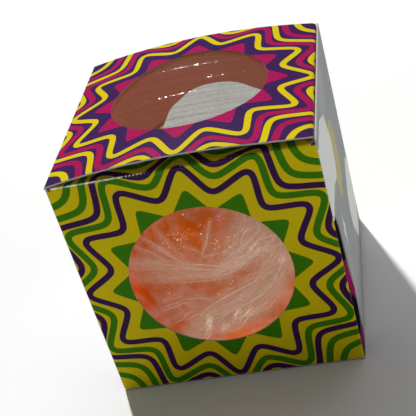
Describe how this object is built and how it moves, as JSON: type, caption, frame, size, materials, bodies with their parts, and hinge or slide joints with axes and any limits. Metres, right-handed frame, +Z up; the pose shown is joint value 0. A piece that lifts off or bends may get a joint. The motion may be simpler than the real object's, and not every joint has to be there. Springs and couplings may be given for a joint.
{
  "type": "windowed carton with gel squeeze ball",
  "caption": "Printed cube carton with round film windows and a hinged tuck lid, holding a soft clear ball of orange gel with white fibre wisps and glitter",
  "frame": {"origin": "centre of the carton's footprint, on the surface it stands on", "axes": "+Z up, -Y is the face with the front window, the lid hinges on the -X side"},
  "size_m": [0.07, 0.07, 0.0729],
  "materials": {
    "printed_board_olive": "gloss",
    "printed_board_purple": "gloss",
    "printed_board_grey": "gloss",
    "bare_board": "matte",
    "clear_film": "gloss",
    "clear_elastomer": "gloss",
    "orange_gel": "gloss",
    "white_fibre": "matte",
    "gold_flake": "polished"
  },
  "bodies": {
    "carton": {"front_panel": "printed_board_olive", "right_panel": "printed_board_grey", "back_panel": "printed_board_olive", "left_panel": "printed_board_grey", "side_seam_tab": "bare_board", "front_window_film": "clear_film", "bottom_front_dust_flap": "bare_board", "bottom_back_dust_flap": "bare_board", "bottom_inner_flap": "bare_board", "bottom_outer_flap": "printed_board_purple"},
    "lid": {"lid_panel": "printed_board_purple", "lid_window_film": "clear_film"},
    "tuck": {"lid_tuck_flap": "printed_board_purple"},
    "front_dust": {"front_dust_flap": "bare_board"},
    "back_dust": {"back_dust_flap": "bare_board"},
    "ball": {"ball_skin": "clear_elastomer", "ball_fill_plug": "clear_elastomer", "ball_gel": "orange_gel", "fibre_strands": "white_fibre", "glitter_flakes": "gold_flake"}
  },
  "joints": [
    {"name": "ball_lift", "type": "slide", "parent": "carton", "child": "ball", "axis": [0, 0, 1], "range_m": [0, 0.073]},
    {"name": "lid_open", "type": "hinge", "parent": "carton", "child": "lid", "pos_m": [-0.03478, 0, 0.06978], "axis": [0, -1, 0], "range_deg": [0, 190]},
    {"name": "tuck_fold", "type": "hinge", "parent": "lid", "child": "tuck", "pos_m": [0.03422, 0, 0.06978], "axis": [0, -1, 0], "range_deg": [0, 66.6]},
    {"name": "front_dust_fold", "type": "hinge", "parent": "carton", "child": "front_dust", "pos_m": [0, -0.03478, 0.06903], "axis": [1, 0, 0], "range_deg": [0, 152.1]},
    {"name": "back_dust_fold", "type": "hinge", "parent": "carton", "child": "back_dust", "pos_m": [0, 0.03478, 0.06903], "axis": [-1, 0, 0], "range_deg": [0, 152.1]}
  ],
  "couplings": [
    {"joint": "lid_open", "follows": "ball_lift", "rad_per_m": 45.4},
    {"joint": "tuck_fold", "follows": "ball_lift", "rad_per_m": 15.89},
    {"joint": "front_dust_fold", "follows": "ball_lift", "rad_per_m": 36.32},
    {"joint": "back_dust_fold", "follows": "ball_lift", "rad_per_m": 36.32}
  ]
}
